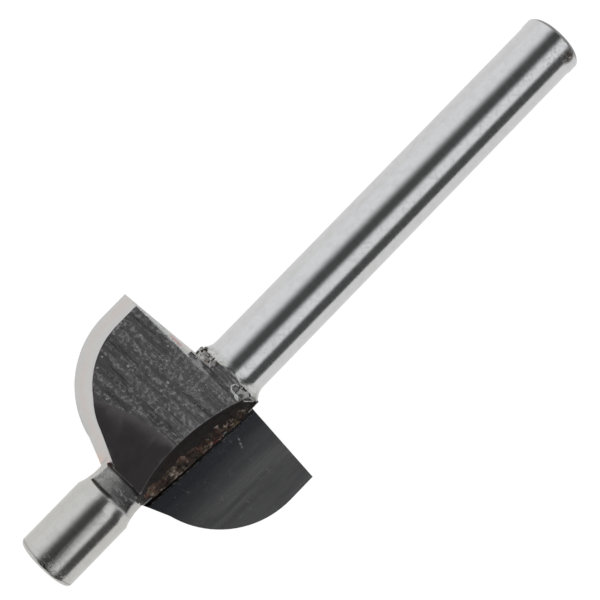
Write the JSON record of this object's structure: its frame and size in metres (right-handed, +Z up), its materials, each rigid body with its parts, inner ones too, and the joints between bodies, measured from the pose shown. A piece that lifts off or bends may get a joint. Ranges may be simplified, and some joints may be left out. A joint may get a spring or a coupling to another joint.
{
  "type": "router bit",
  "caption": "Cove-cutting router bit with a round shank, two rounded wings carrying brazed carbide tips, and a solid round pilot.",
  "frame": {"origin": "on the bit's axis, where the parallel shank begins behind the collar", "axes": "+X along the axis towards the shank's end, +Y across the left wing, +Z up with the wings lying flat"},
  "size_m": [0.0713, 0.0254, 0.007],
  "materials": {
    "steel": "ground on the shank and pilot, rough-milled and darkened on the wings",
    "carbide": "dark ground carbide",
    "braze": "rough copper and gold braze"
  },
  "bodies": {
    "root": {"bit_body": "steel", "carbide_tip_left": "carbide", "carbide_tip_right": "carbide", "braze_joint_left": "braze", "braze_joint_right": "braze"}
  },
  "joints": []
}
